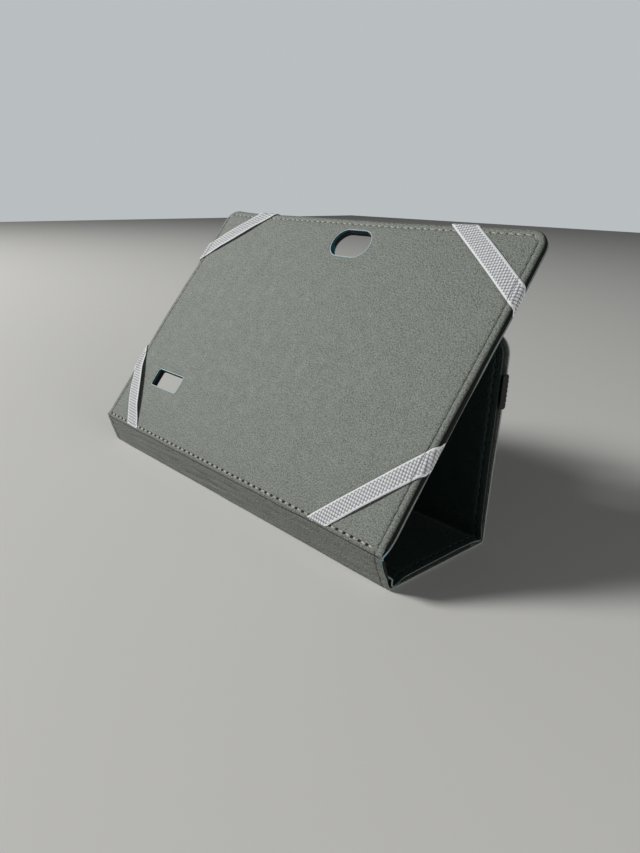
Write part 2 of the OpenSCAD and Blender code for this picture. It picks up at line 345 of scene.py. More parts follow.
greyLeather = splitLeather("greySplitLeather", "grey")
tealLeather = splitLeather("darkTealSplitLeather", "teal")
# the lining's cut edge takes the same painted shade over the turned edge
greyEdge = rawFibre("greyLeatherCutEdge", "cutEdge", "#9aa09e", "#7b8280", leatherLook["hemShadeHex"])
# the last colour is a painted highlight: light blue where the cut edge at the panel's fold catches the light
paleEdge = rawFibre("tealLeatherCutEdge", "cutEdge", "#8b9593", "#6b7674", "#7fb0c4")
rimEdge = rawFibre("holeRimCutEdge", "cutEdge", "#bccdd0", "#a3b5b9")
inkedWall = rawFibre("inkedHoleWall", "cutEdge", "#235a62", "#163b41")
# painted shade: a near-black for the flat lenses that stand for the needle holes' shadow
holeShade = rawFibre("needleHoleShade", "cutEdge", "#0b0c0b", "#121413")
# partly the board's own dark grey and partly painted shade: near-black so the board seen in the gap between
# the skins reads dark
greyBoard = rawFibre("greyBoard", "board", "#1c1a18", "#12110f")
whiteFoam = rawFibre("whiteSponge", "sponge", "#c9c7bd", "#aeaca2")
beigeThread = spunThread("greigeThread", "#c2c1b2", "#96958a")
# painted shade: the greige thread darkened for the side seams, where its groove shades it
shadedSideThread = spunThread("shadedSideThread", "#3a3d38", "#2a2c29")
tealThread = spunThread("darkTealThread", "#141f21", "#0d1617")
greyElastic = wovenElastic("silverGreyElastic", "#e3e5e7", "#f4f5f6", "#3f4347", 0.6)
blackElastic = wovenElastic("blackElastic", "#0e1011", "#1f2122", "#040505", 0.75)
print("materials are made")


# meshes
def makeObject(name, points, faces, materials, uv=None, values=None, faceMats=None, outward=None, sharp=38):
    # outward is a point index and a direction that the faces there have to look along
    mesh = bpy.data.meshes.new(name)
    mesh.from_pydata(np.asarray(points).tolist(), [], faces if isinstance(faces, list) else faces.tolist())
    if uv is not None:
        layer = mesh.attributes.new("flatCut", "FLOAT_VECTOR", "POINT")
        layer.data.foreach_set("vector", np.column_stack([uv, np.zeros(len(uv))]).astype(np.float32).ravel())
    if values is not None:
        layer = mesh.attributes.new("level", "FLOAT", "POINT")
        layer.data.foreach_set("value", np.asarray(values, np.float32))
    if faceMats is not None:
        mesh.polygons.foreach_set("material_index", np.asarray(faceMats, np.int32))
    for material in materials:
        mesh.materials.append(material)
    form = bmesh.new()
    form.from_mesh(mesh)
    bmesh.ops.remove_doubles(form, verts=form.verts, dist=1e-6)
    bmesh.ops.recalc_face_normals(form, faces=form.faces)
    if outward is not None:
        place, direction = Vector(points[outward[0]]), Vector(outward[1])
        form.verts.ensure_lookup_table()
        near = min(form.faces, key=lambda face: (face.calc_center_median() - place).length)
        if near.normal.dot(direction) < 0:
            bmesh.ops.reverse_faces(form, faces=form.faces)
    form.to_mesh(mesh)
    form.free()
    mesh.polygons.foreach_set("use_smooth", np.ones(len(mesh.polygons), bool))
    obj = bpy.data.objects.new(name, mesh)
    bpy.context.scene.collection.objects.link(obj)
    mesh.set_sharp_from_angle(angle=math.radians(sharp))
    return obj


def writeFlatUv(obj):
    # the flat-cut coordinates of each point become the UV map that the leather's grain reads
    mesh = obj.data
    flat = np.zeros(len(mesh.vertices) * 3, np.float32)
    mesh.attributes["flatCut"].data.foreach_get("vector", flat)
    flat = flat.reshape(-1, 3)[:, :2]
    corners = np.zeros(len(mesh.loops), np.int32)
    mesh.loops.foreach_get("vertex_index", corners)
    layer = mesh.uv_layers.new(name="flat")
    layer.data.foreach_set("uv", flat[corners].astype(np.float32).ravel())
    mesh.attributes.remove(mesh.attributes["flatCut"])


def thicken(obj, thickness, rimSlot, sharp=38):
    # a skin gets its thickness away from its face, with the cut edge in its own material
    solid = obj.modifiers.new("skin", "SOLIDIFY")
    solid.thickness = thickness
    solid.offset = -1
    solid.material_offset_rim = rimSlot
    bpy.context.view_layer.update()
    made = bpy.data.meshes.new_from_object(obj.evaluated_get(bpy.context.evaluated_depsgraph_get()))
    obj.modifiers.clear()
    old = obj.data
    obj.data = made
    made.name = old.name
    bpy.data.meshes.remove(old)
    made.polygons.foreach_set("use_smooth", np.ones(len(made.polygons), bool))
    made.set_sharp_from_angle(angle=math.radians(sharp))


def ripple(x, s, size, seed, count=7):
    # soft waves of about one size in every direction: a sum of sines, from -1 to 1 or so
    draw = np.random.default_rng(seed)
    angle, phase = draw.uniform(0, math.pi, count), draw.uniform(0, 2 * math.pi, count)
    rate = 2 * math.pi / (size * draw.uniform(0.75, 1.35, count))
    waves = [np.sin(one * (x * math.cos(turn) + s * math.sin(turn)) + late)
             for one, turn, late in zip(rate, angle, phase)]
    return np.sum(waves, axis=0) / math.sqrt(count)


def hump(value, middle, width):
    return np.exp(-((value - middle) / width) ** 2)


def smoothStep(value):
    value = np.clip(value, 0, 1)
    return value * value * (3 - 2 * value)


def tubeFaces(grid):
    # quads between each row of point indices and the next, closed round the rows
    after = np.roll(grid, -1, axis=-1)
    corners = [grid[..., :-1, :], after[..., :-1, :], after[..., 1:, :], grid[..., 1:, :]]
    return np.stack(corners, axis=-1).reshape(-1, 4)


# the path of each skin from the panel's free edge, down, under and up to the upright's free edge
def arcPoints(centre, radius, start, end, steps):
    angles = np.radians(np.linspace(start, end, steps + 1))
    return centre + radius * np.column_stack([np.cos(angles), np.sin(angles)])


def roundOff(points, rounds):
    # cuts each corner of a line at a quarter of its length, again and again, and keeps both ends
    for _ in range(rounds):
        a, b = points[:-1], points[1:]
        cut = np.stack([a * 0.75 + b * 0.25, a * 0.25 + b * 0.75], axis=1).reshape(-1, 2)
        points = np.concatenate([points[:1], cut, points[-1:]])
    return points


def angleOf(direction):
    return math.degrees(math.atan2(direction[1], direction[0])) % 360


faceAngle = {name: angleOf(-flap["depth"]) for name, flap in flaps.items()}
foldSteps = 14
liningLine = np.concatenate([
    [onFlap("panel", panelLen, 0)],
    arcPoints(foldOf["panel_fold"], foldR, faceAngle["panel"], faceAngle["spine"], foldSteps),
    arcPoints(foldOf["front_fold"], foldR, faceAngle["spine"], faceAngle["base"], foldSteps),
    arcPoints(foldOf["rear_fold"], foldR, faceAngle["base"], faceAngle["upright"], foldSteps),
    [onFlap("upright", uprightLen, 0)],
])
thick = {name: flap["thick"] for name, flap in flaps.items()}
# the outer skin's line: flap, distance from its fold and depth below its face
outerPlan = (
    ("panel", panelLen, thick["panel"]), ("panel", 14 * mm, thick["panel"]), ("panel", 6 * mm, 5.1 * mm),
    ("panel", 1 * mm, 4.5 * mm), ("panel", -1.3 * mm, 4.2 * mm), ("spine", 15.4 * mm, 2.8 * mm),
    ("spine", 13 * mm, 2.8 * mm), ("spine", 7.4 * mm, 2.9 * mm), ("spine", 6.4 * mm, 3.0 * mm),
    ("spine", 3.0 * mm, 5.0 * mm), ("spine", 2.2 * mm, 5.0 * mm), ("base", 1.3 * mm, 2.6 * mm),
    ("base", 1.6 * mm, 1.9 * mm), ("base", 3.3 * mm, 2.1 * mm), ("base", 7 * mm, 3.8 * mm),
    ("base", 11 * mm, thick["base"]), ("base", baseLen - 9 * mm, thick["base"]),
    ("base", baseLen - 4.5 * mm, 4.2 * mm), ("base", baseLen - 1.4 * mm, 3.1 * mm),
    ("upright", 1.6 * mm, 3.1 * mm), ("upright", 4.5 * mm, 3.8 * mm), ("upright", 10 * mm, thick["upright"]),
    ("upright", uprightLen, thick["upright"]),
)
outerLine = roundOff(np.array([onFlap(*place) for place in outerPlan]), 3)


def makePath(line, inward):
    # arc length, points and unit normals into the leather; inward is 1 or -1, the side of the line
    step = np.diff(line, axis=0)
    length = np.hypot(step[:, 0], step[:, 1])
    line = np.concatenate([line[:1], line[1:][length > 1e-7]])
    step = np.diff(line, axis=0)
    length = np.hypot(step[:, 0], step[:, 1])
    tangent = step / length[:, None]
    normal = inward * np.column_stack([-tangent[:, 1], tangent[:, 0]])
    joint = np.concatenate([normal[:1], normal[:-1] + normal[1:], normal[-1:]])
    return {"s": np.concatenate([[0], np.cumsum(length)]), "line": line,
            "normal": joint / np.linalg.norm(joint, axis=1)[:, None]}


def onPath(path, s):
    point = np.column_stack([np.interp(s, path["s"], path["line"][:, i]) for i in (0, 1)])
    normal = np.column_stack([np.interp(s, path["s"], path["normal"][:, i]) for i in (0, 1)])
    return point, normal / np.linalg.norm(normal, axis=1)[:, None]


def nearestS(path, point):
    # arc length of the path's place nearest a point
    a, b = path["line"][:-1], path["line"][1:]
    along = b - a
    share = np.clip(((point - a) * along).sum(1) / (along ** 2).sum(1), 0, 1)
    gap = np.linalg.norm(a + share[:, None] * along - point, axis=1)
    best = int(gap.argmin())
    return float(path["s"][best] + share[best] * np.linalg.norm(along[best]))


lining = makePath(liningLine, 1)
outer = makePath(outerLine, -1)
for path, back in ((lining, 0), (outer, 1)):
    # lengths along each path to its folds, and to mid-spine and mid-base where the skins are cut in two
    overFold = flaps["spine"]["depth"] * foldR * (1 - 2 * back)
    path["start"], path["total"] = 0.0, path["s"][-1]
    path["panelFold"] = nearestS(path, foldOf["panel_fold"] - overFold)
    path["spineCut"] = nearestS(path, onFlap("spine", spineLen / 2, thick["spine"] * back))
    path["frontFold"] = nearestS(path, onFlap("base", 0, 2 * mm * back))
    path["baseCut"] = nearestS(path, onFlap("base", baseLen / 2, thick["base"] * back))
    path["rearFold"] = nearestS(path, onFlap("base", baseLen, 3 * mm * back))
print("skins: lining %.1f mm and outer %.1f mm from edge to edge"
      % (lining["total"] / mm, outer["total"] / mm))


# How the elastic and the handling pull the case out of true. At the sides: which side, how far out, at what
# height up the panel (below zero it is down the spine) and over what reach. At the panel's top edge: how far
# up, where across and over what reach.
sideHumps = ((-1, 2.4 * mm, 88 * mm, 48 * mm), (1, -0.8 * mm, 62 * mm, 42 * mm),
             (1, -1.4 * mm, -7 * mm, 7 * mm))
topHumps = ((1.8 * mm, -134 * mm, 22 * mm), (1.9 * mm, 134 * mm, 80 * mm), (0.7 * mm, -30 * mm, 70 * mm))


def pulled(points, height):
    # points of the straight case moved to where the pulled case has them; height is theirs up the panel
    side = np.sign(points[:, 0])
    share = (np.abs(points[:, 0]) / halfWidth) ** 3
    aside = sum(amount * hump(height, at, reach) * (side == which) for which, amount, at, reach in sideHumps)
    rise = sum(amount * hump(points[:, 0], at, reach) for amount, at, reach in topHumps)
    rise = rise * smoothStep((height - 60 * mm) / (panelLen - 60 * mm))
    return points + np.column_stack([side * share * aside, rise[:, None] * flaps["panel"]["along"]])


skin = {
    "corner": 10.5 * mm, "band": 6.5 * mm, "cell": 3.0 * mm, "cornerCell": 0.8 * mm, "leather": 0.8 * mm,
    "seam": 4.0 * mm, "seamDepth": 0.32 * mm, "groove": 0.65 * mm, "grooveReach": 0.5 * mm,
    "crossSeam": 3.0 * mm, "pull": 1.3 * mm, "pullReach": 5 * mm, "edgeRadius": 2.1 * mm, "dipReach": 7 * mm,
    "foldHighlightAt": 2.5 * mm, "foldHighlightReach": 3.2 * mm,
    "foldReach": 9 * mm, "foldCell": 0.34 * mm, "hemShadeFrom": 0.25 * mm, "hemShadeReach": 0.8 * mm,
}
holes = {
    "camera": {"x": 6.5 * mm, "v": 156.5 * mm, "halfLong": 15.75 * mm, "halfHigh": 9.25 * mm,
               "radius": 9.25 * mm, "blockX": (-14 * mm, 27 * mm), "blockS": (6.5 * mm, 31 * mm),
               "cellsX": 20, "cellsS": 12, "arcX": 4, "arcS": 6},
    "speaker": {"x": -88.7 * mm, "v": 37 * mm, "halfLong": 15.25 * mm, "halfHigh": 6 * mm, "radius": 1.9 * mm,
                "blockX": (-108 * mm, -69.4 * mm), "blockS": (127 * mm, 147 * mm), "cellsX": 18, "cellsS": 10,
                "arcX": 3, "arcS": 3},
}


def holeOutline(hole, grow=0.0):
    # rounded rectangle, one point for each point round the hole's block, from the top left corner clockwise;
    # each side is half an arc, a straight run and half an arc
    long, high, r = hole["halfLong"] + grow, hole["halfHigh"] + grow, hole["radius"] + grow

    def side(cells, arcCells, reach, straight):
        turn = np.radians(np.linspace(45, 0, arcCells + 1))
        first = np.column_stack([-straight - r * np.sin(turn), reach - r + r * np.cos(turn)])
        run = np.linspace(-straight, straight, cells - 2 * arcCells + 1)[1:-1]
        middle = np.column_stack([run, np.full(len(run), reach)])
        second = (first * (-1, 1))[::-1]
        return np.concatenate([first, middle, second[1:] if cells == 2 * arcCells else second])[:-1]

    top = side(hole["cellsX"], hole["arcX"], high, long - r)
    end = side(hole["cellsS"], hole["arcS"], long, high - r)
    right = np.column_stack([end[:, 1], -end[:, 0]])
    return np.concatenate([top, right, -top, -right])


def spread(marks, cell):
    # a list of places from mark to mark in near-equal steps of about cell, or of the step given with a mark
    places = [marks[0][0]]
    for (a, _), (b, step) in zip(marks[:-1], marks[1:]):
        count = max(1, round((b - a) / (step or cell)))
        places += list(a + (b - a) * np.arange(1, count + 1) / count)
    return np.array(places)


def bandOutline(x, s, d, freeEnd):
    # the place on a flap's outline, offset inwards by d, that belongs to a point on the edge of its inner
    # block; round a corner it is projected from the corner's centre
    r = skin["corner"]
    side = np.where(x > 0, 1.0, -1.0)
    outS = s.copy()
    onSide = np.abs(np.abs(x) - (halfWidth - skin["band"])) < 1e-7
    outX = np.where(onSide, side * (halfWidth - d), x)
    if freeEnd:
        outS = np.where(onSide, s, d)
        near = (np.abs(x) > halfWidth - r - 1e-9) & (s < r + 1e-9)
        fromCentre = np.column_stack([np.abs(x) - (halfWidth - r), s - r])
        span = np.maximum(np.linalg.norm(fromCentre, axis=1), 1e-9)
        outX = np.where(near, side * (halfWidth - r + fromCentre[:, 0] / span * (r - d)), outX)
        outS = np.where(near, r + fromCentre[:, 1] / span * (r - d), outS)
    return outX, outS


def flatSkin(marks, rings, wholeOf, freeEnd, withHoles, holeRings):
    # A skin in the flat: x, s from the free edge, depth n below its face and d from the outline.
    # An inner block of cells, rings out to the edge, and round each hole a block of rings.
    edge = halfWidth - skin["band"]
    xMarks = [(-edge, None), (-halfWidth + skin["corner"], skin["cornerCell"])]
    if withHoles:
        for hole in sorted(holes.values(), key=lambda each: each["x"]):
            low, high = hole["blockX"]
            xMarks += [(low, None), (high, (high - low) / hole["cellsX"])]
    xMarks += [(halfWidth - skin["corner"], None), (edge, skin["cornerCell"])]
    xs, ss = spread(xMarks, skin["cell"]), spread(marks, skin["cell"])
    nx, ns = len(xs), len(ss)
    gridX, gridS = np.meshgrid(xs, ss)
    x, s = gridX.ravel(), gridS.ravel()
    index = np.arange(nx * ns).reshape(ns, nx)
    d = np.minimum(halfWidth - np.abs(x), s if freeEnd else halfWidth)
    pulledX, pulledS = x, s
    if freeEnd:  # the block's corner points are drawn in a little, clear of the rings
        pull = skin["pull"] * np.exp(-(np.hypot(np.abs(x) - edge, s - skin["band"]) / skin["pullReach"]) ** 2)
        pulledX, pulledS = x - np.sign(x) * pull, s + pull
    cells = np.ones((ns - 1, nx - 1), bool)
    parts = [(pulledX, pulledS, np.zeros(len(x)), d)]
    faces = []

    def addRing(before, closed, *ring):
        # joins a new ring of points to the one before it and gives back the new points' indices
        first = sum(len(part[0]) for part in parts)
        parts.append(ring)
        now = np.arange(first, first + len(before))
        quads = np.column_stack([before, np.roll(before, -1), np.roll(now, -1), now])
        faces.append(quads if closed else quads[:-1])
        return now

    for hole in holes.values() if withHoles else ():
        c0, c1 = (int(np.abs(xs - edgeX).argmin()) for edgeX in hole["blockX"])
        r0, r1 = (int(np.abs(ss - edgeS).argmin()) for edgeS in hole["blockS"])
        cells[r0:r1, c0:c1] = False
        loop = np.concatenate([index[r0, c0:c1], index[r0:r1, c1], index[r1, c1:c0:-1], index[r1:r0:-1, c0]])
        before = loop
        blockPoints = np.column_stack([x[loop], s[loop]])
        for share, grow, n in holeRings:
            shape = holeOutline(hole, grow) * (1, -1) + (hole["x"], panelLen - hole["v"])
            point = blockPoints * share + shape * (1 - share)
            depth, inset = np.full(len(loop), n), np.full(len(loop), skin["band"])
            before = addRing(before, True, point[:, 0], point[:, 1], depth, inset)
    rows, cols = np.nonzero(cells)
    faces.append(np.column_stack([index[rows, cols], index[rows, cols + 1], index[rows + 1, cols + 1],
                                  index[rows + 1, cols]]))
    loops = [index[::-1, 0], index[:, -1]]
    if freeEnd:
        loops = [np.concatenate([index[:0:-1, 0], index[0, :], index[1:, -1]])]
    for loop in loops:
        before = loop
        for ringAt in rings:
            ringD, ringN = ringAt(wholeOf(s[loop]))
            ringX, ringS = bandOutline(x[loop], s[loop], ringD, freeEnd)
            before = addRing(before, False, ringX, ringS, ringN, ringD)
    x, s, n, d = (np.concatenate([part[i] for part in parts]) for i in range(4))
    return x, s, n, d, np.concatenate(faces)


# The skins' edges, from flap to flap: the lining's turn in degrees and its run past the turn in mm, and the
# outer skin's dip to the lining in mm. On the panel the lining's edge turns right down and runs on towards
# the outer skin; elsewhere it stays nearly flat and shows its cut edge.
liningTurn = {"panel": 93, "fold": 14, "spine": 14, "base": 12, "upright": 12}
liningRun = {"panel": 0.9, "fold": 0.05, "spine": 0.05, "base": 0.05, "upright": 0.05}
outerDip = {"panel": 0.55, "fold": 0.5, "spine": 0.9, "base": 0.55, "upright": 0.6}
rollSteps = 6


def fromFlapToFlap(path, table, whole):
    # a value that each flap and fold has, joined by straight ramps along the path
    atPanel, atFront, atRear = path["panelFold"], path["frontFold"], path["rearFold"]
    near = [0, atPanel - 9 * mm, atPanel - 1 * mm, atPanel + 1 * mm, atPanel + 4 * mm, atFront - 5 * mm,
            atFront - 1 * mm, atFront + 1 * mm, atFront + 9 * mm, atRear - 9 * mm, atRear - 1 * mm,
            atRear + 1 * mm, atRear + 9 * mm, path["total"]]
    names = [name for name in ("panel", "fold", "spine", "fold", "base", "fold", "upright") for _ in (0, 1)]
    return np.interp(whole, near, [table[name] for name in names])


def flatRing(d, n=0.0):
    # a ring that keeps one distance from the outline and one depth
    return lambda whole: (np.full(len(whole), d), np.full(len(whole), n))


def rollRing(share, past=0.0):
    # the lining's edge after a share of its turn, and after a share of its straight run past the turn
    def at(whole):
        turn = np.radians(fromFlapToFlap(lining, liningTurn, whole))
        run = fromFlapToFlap(lining, liningRun, whole) * mm
        radius = skin["edgeRadius"]
        d = radius * (np.sin(turn) - np.sin(share * turn)) + run * np.cos(turn) * (1 - past)
        return d, radius * (1 - np.cos(share * turn)) + run * past * np.sin(turn)
    return at


seamRings = [flatRing(d) for d in (5.4 * mm, skin["seam"] + skin["groove"], skin["seam"],
                                   skin["seam"] - skin["groove"], 2.7 * mm)]
liningRings = seamRings + [rollRing(share) for share in np.linspace(0, 1, rollSteps + 1)]
liningRings += [rollRing(1, 0.5), rollRing(1, 1)]
outerRings = seamRings + [flatRing(d * mm) for d in (2.0, 1.4, 0.9, 0.5, 0.28, 0.14)]
holeRim = [(0.66, 1.4 * mm, 0), (0.3, 1.4 * mm, 0), (0.0, 1.4 * mm, 0), (0, 0.95 * mm, 0.04 * mm),
           (0, 0.75 * mm, 0.16 * mm), (0, 0.68 * mm, 0.36 * mm)]


def crossSeams(path):
    # where the seams across the flaps lie, beside each fold but not on the spine
    off = skin["crossSeam"]
    extra = 0 if path is lining else 5 * mm
    return [path["panelFold"] - off - extra, path["frontFold"] + off + 4 * mm + extra / 2,
            path["rearFold"] - off - 4 * mm - extra / 2, path["rearFold"] + off + 4 * mm + extra / 2]


def seamGroove(path, x, whole, d):
    # depth of the sewn-in lines: round the border, and across each flap beside its folds
    depth = hump(d, skin["seam"], skin["grooveReach"])
    inside = np.abs(x) < halfWidth - skin["seam"]
    for at in crossSeams(path):
        depth = np.maximum(depth, hump(whole, at, skin["grooveReach"]) * inside)
    return skin["seamDepth"] * depth


# how soft the case is: the padding's crown, waves, the spine's wrinkles, its crease and the painted shade in
# both, how far the back flap's lining is drawn off its board, and the slack of the outer skin
softness = {
    "crown": 0.28 * mm, "crownReach": 9 * mm, "wave": 0.07 * mm, "waveSize": 33 * mm,
    "wrinkle": 0.26 * mm, "wrinkleSize": 4.2 * mm, "wrinkleStretch": 0.14, "spineReach": 7 * mm,
    "crease": 0.75 * mm, "creaseWidth": 0.42 * mm, "creaseBelow": 0.4 * mm, "creaseWander": 0.3 * mm,
    "wrinkleShade": 0.28, "creaseShade": 0.95, "belly": 1.5 * mm, "bellyPlace": 0.85, "bellyReach": 0.42,
    "slack": 0.10 * mm, "slackSize": 28 * mm, "cutRound": 0.15 * mm, "cutReach": 0.5 * mm,
}


def bellyAt(share):
    # how far the back flap's lining is drawn off its board, at a share of the flap's length
    return softness["belly"] * hump(share, softness["bellyPlace"], softness["bellyReach"]) * (share > 0)


def creaseAt(x):
    # where the crease at the spine's top runs, wandering a little
    wander = softness["creaseWander"] * ripple(x, x * 0, 30 * mm, 6)
    return lining["panelFold"] + softness["creaseBelow"] + wander


def spineWrinkles(x, whole):
    # how much a place is on the spine, and its lengthwise waves from -1 to 1
    middle = (lining["panelFold"] + lining["frontFold"]) / 2
    waves = ripple(x * softness["wrinkleStretch"], whole, softness["wrinkleSize"], 8)
    return hump(whole, middle, softness["spineReach"]), waves


def softLining(x, whole, d):
    # the padding's crown on the panel, soft waves except where the case stands on the floor, the spine's
    # wrinkles, the crease at its top and the back flap's belly
    onPanel = np.clip((lining["panelFold"] - 4 * mm - whole) / (8 * mm), 0, 1)
    inside = np.clip((d - skin["seam"]) / softness["crownReach"], 0, 1)
    crown = -softness["crown"] * onPanel * inside * (2 - inside)
    onFloor = np.clip((whole - lining["frontFold"]) / (3 * mm) + 1.3, 0, 1)
    onFloor = onFloor * np.clip((lining["rearFold"] - whole) / (3 * mm) + 1.3, 0, 1)
    waves = softness["wave"] * ripple(x, whole, softness["waveSize"], 3) * (1 - onFloor)
    onSpine, wrinkled = spineWrinkles(x, whole)
    wrinkles = softness["wrinkle"] * onSpine * wrinkled
    crease = softness["crease"] * hump(whole, creaseAt(x), softness["creaseWidth"])
    return crown + waves + wrinkles + crease - bellyAt((whole - lining["rearFold"]) / uprightLen)


def softOuter(x, whole, d):
    # the border dips to the lining and is rounded at its cut, and the skin is slack between its seams
    near = np.clip(1 - d / skin["dipReach"], 0, 1)
    dip = fromFlapToFlap(outer, outerDip, whole) * mm * near ** 2
    rounding = softness["cutRound"] * np.clip(1 - d / softness["cutReach"], 0, 1) ** 2
    return dip + rounding + softness["slack"] * ripple(x, whole, softness["slackSize"], 5)


def faceDepth(path, x, whole, d):
    soft = softLining(x, whole, d) if path is lining else softOuter(x, whole, d)
    return soft + seamGroove(path, x, whole, d)


def edgeLevel(path, x, whole, n, d):
    # up to 1 where the lining's turned edge is painted near-black as painted shade, where painted shade sits
    # in the spine's crease and wrinkle troughs, and where the outer skin's cut edge just past the panel's
    # fold is painted light blue as a painted highlight
    if path is outer:
        # painted highlight on the outer skin's cut edge just past the panel's fold
        return hump(whole, path["panelFold"] + skin["foldHighlightAt"], skin["foldHighlightReach"]) * (d < 0.15 * mm)
    onSpine, wrinkled = spineWrinkles(x, whole)
    # painted shade in the troughs of the spine's wrinkles and, below, in its crease
    wrinkleShade = softness["wrinkleShade"] * onSpine * smoothStep((wrinkled - 0.3) / 1.1)
    creased = hump(whole, creaseAt(x), softness["creaseWidth"]) * (d > 1 * mm)
    # painted shade over the lining's turned edge, growing with depth round the roll
    hemShaded = smoothStep((n - skin["hemShadeFrom"]) / skin["hemShadeReach"])
    return np.maximum(np.maximum(wrinkleShade, softness["creaseShade"] * creased), hemShaded)


def placeOn(path, x, whole, n):
    # a point of the flat skin taken round the folds: across, along the path, and n below its face
    point, normal = onPath(path, whole)
    return pulled(np.column_stack([x, point + n[:, None] * normal]), path["panelFold"] - whole)


def bend(obj):
    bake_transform(obj)


def panelMarks():
    # where the panel's grid has to have a line, from its free edge, for its corners and its two holes
    camera, speaker = holes["camera"]["blockS"], holes["speaker"]["blockS"]
    cell = (speaker[1] - speaker[0]) / holes["speaker"]["cellsS"]
    return [(skin["band"], None), (skin["corner"], skin["cornerCell"]), (camera[1], None), (speaker[0], None),
            (speaker[1], cell)]


# Skins and seams come in three pieces, each over one fold: the fold, where the piece starts and ends along
# its path, which end is a free edge, and the board under it.
pieces = {
    "PanelHalf": ("panelFold", "start", "spineCut", "start", "panel_board"),
    "FrontHalf": ("frontFold", "spineCut", "baseCut", "none", "spine_stiffener"),
    "UprightHalf": ("rearFold", "baseCut", "total", "end", "upright_board"),
}
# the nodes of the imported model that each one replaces
stoodInFor = {
    "liningPanelHalf": ["panel_face_leather", "panel_fold_strip"],
    "liningFrontHalf": ["spine_face_leather", "front_fold_strip"],
    "liningUprightHalf": ["upright_lining_leather", "base_lining_leather", "rear_fold_strip"],
    "outerPanelHalf": ["panel_back_leather"],
    "outerFrontHalf": ["spine_back_leather"],
    "outerUprightHalf": ["upright_outer_leather", "base_outer_leather"],
    "threadPanelHalf": ["panel_thread"],
    "threadFrontHalf": ["spine_thread"],
    "threadUprightHalf": ["upright_thread", "base_thread"],
}


def buildSkin(layer, piece, path, materials):
    # one skin over one fold
    name = layer + piece
    fold, first, last, freeAt, board = pieces[piece]
    start, end = path[first], path[last]
    length = end - start
    hasFree, flip = freeAt != "none", freeAt == "end"
    withHoles = freeAt == "start"

    def wholeOf(s):
        return end - s if flip else start + s

    foldAt = end - path[fold] if flip else path[fold] - start
    marks = panelMarks() if withHoles else panelMarks()[:2] if hasFree else [(0.0, None)]
    near, far = foldAt - skin["foldReach"], foldAt + skin["foldReach"]
    if near > marks[-1][0] + 1 * mm:
        marks.append((near, None))
    marks.append((min(far, length), skin["foldCell"]))
    if far < length - 0.1 * mm:
        marks.append((length, None))
    rings = liningRings if path is lining else outerRings
    x, s, n, d, faces = flatSkin(marks, rings, wholeOf, hasFree, withHoles, holeRim)
    whole = wholeOf(s)
    points = placeOn(path, x, whole, n + faceDepth(path, x, whole, d))
    sample = int(np.argmin(np.abs(x - 50 * mm) + np.abs(s - length * 0.4)))
    _, normal = onPath(path, whole[sample:sample + 1])
    obj = makeObject(name, points, faces, materials, uv=np.column_stack([x, whole]),
                     values=edgeLevel(path, x, whole, n, d),
                     outward=(sample, (0, *-normal[0])))
    thicken(obj, skin["leather"], 1)
    writeFlatUv(obj)
    bend(obj)
    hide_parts(*stoodInFor[name])
    print("%s: %d faces" % (name, len(obj.data.polygons)))


for piece in pieces:
    buildSkin("lining", piece, lining, [greyLeather, greyEdge])
for piece in pieces:
    buildSkin("outer", piece, outer, [tealLeather, paleEdge])


# foam pad under the panel's face
pad = {
    "under": 0.9 * mm, "thick": 1.0 * mm, "short": 4 * mm, "fill": 0.3,
    "rings": (4.6 * mm, 3.0 * mm, 2.5 * mm), "edge": 2.3 * mm, "edgeDrop": 0.3 * mm,
}


def buildPad():
    # the panel's outline once more, inset, with the padding's crown, a rounded border and both holes
    marks = panelMarks() + [(panelLen - pad["short"], None)]
    rings = [flatRing(d) for d in pad["rings"]] + [flatRing(pad["edge"], pad["edgeDrop"])]
    rim = [(0.66, 1.6 * mm, 0), (0.3, 1.6 * mm, 0), (0, 1.6 * mm, 0), (0, 1.3 * mm, 0.15 * mm)]
    x, s, n, d, faces = flatSkin(marks, rings, lambda value: value, True, True, rim)
    points = placeOn(lining, x, s, n + pad["under"] + softLining(x, s, d))
    _, normal = onPath(lining, np.array([60 * mm]))
    sample = int(np.argmin(np.abs(x - 50 * mm) + np.abs(s - 60 * mm)))
    obj = makeObject("panelPad", points, faces, [whiteFoam], uv=np.column_stack([x, s]),
                     outward=(sample, (0, *-normal[0])))
    thicken(obj, pad["thick"], 0)
    writeFlatUv(obj)
    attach(obj, "panel")
    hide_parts("panel_foam")


buildPad()


# walls of the camera and speaker holes
def buildHoleWall(name, hole):
    # the hole's outline carried through the panel: a rim, an inked wall and a rim, closed behind the wall
    deep = thick["panel"]
    section = [(1.0, 0.5), (0.7, 0.1), (0.35, -0.04), (0.08, 0.02), (-0.02, 0.25), (0.02, 1.8),
               (0.06, deep / mm - 1.6), (0.0, deep / mm - 0.9), (-0.05, deep / mm - 0.45),
               (0.5, deep / mm - 0.25)]
    centre = (hole["x"], panelLen - hole["v"])
    loops = [holeOutline(hole, grow * mm) * (1, -1) + centre for grow, _ in section]
    count, rows = len(loops[0]), len(section)
    flat = np.concatenate(loops)
    depth = np.repeat([w * mm for _, w in section], count)
    points = placeOn(lining, flat[:, 0], flat[:, 1], depth)
    grid = np.arange(rows * count).reshape(rows, count)
    faces = tubeFaces(np.concatenate([grid, grid[:1]]))
    isRim = np.array([1, 1, 1, 1, 0, 0, 0, 1, 1, 0])
    obj = makeObject(name, points, faces, [inkedWall, rimEdge], faceMats=np.repeat(isRim, count))
    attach(obj, "panel")


for key in holes:
    buildHoleWall(key + "HoleWall", holes[key])
print("pad and hole walls are made")


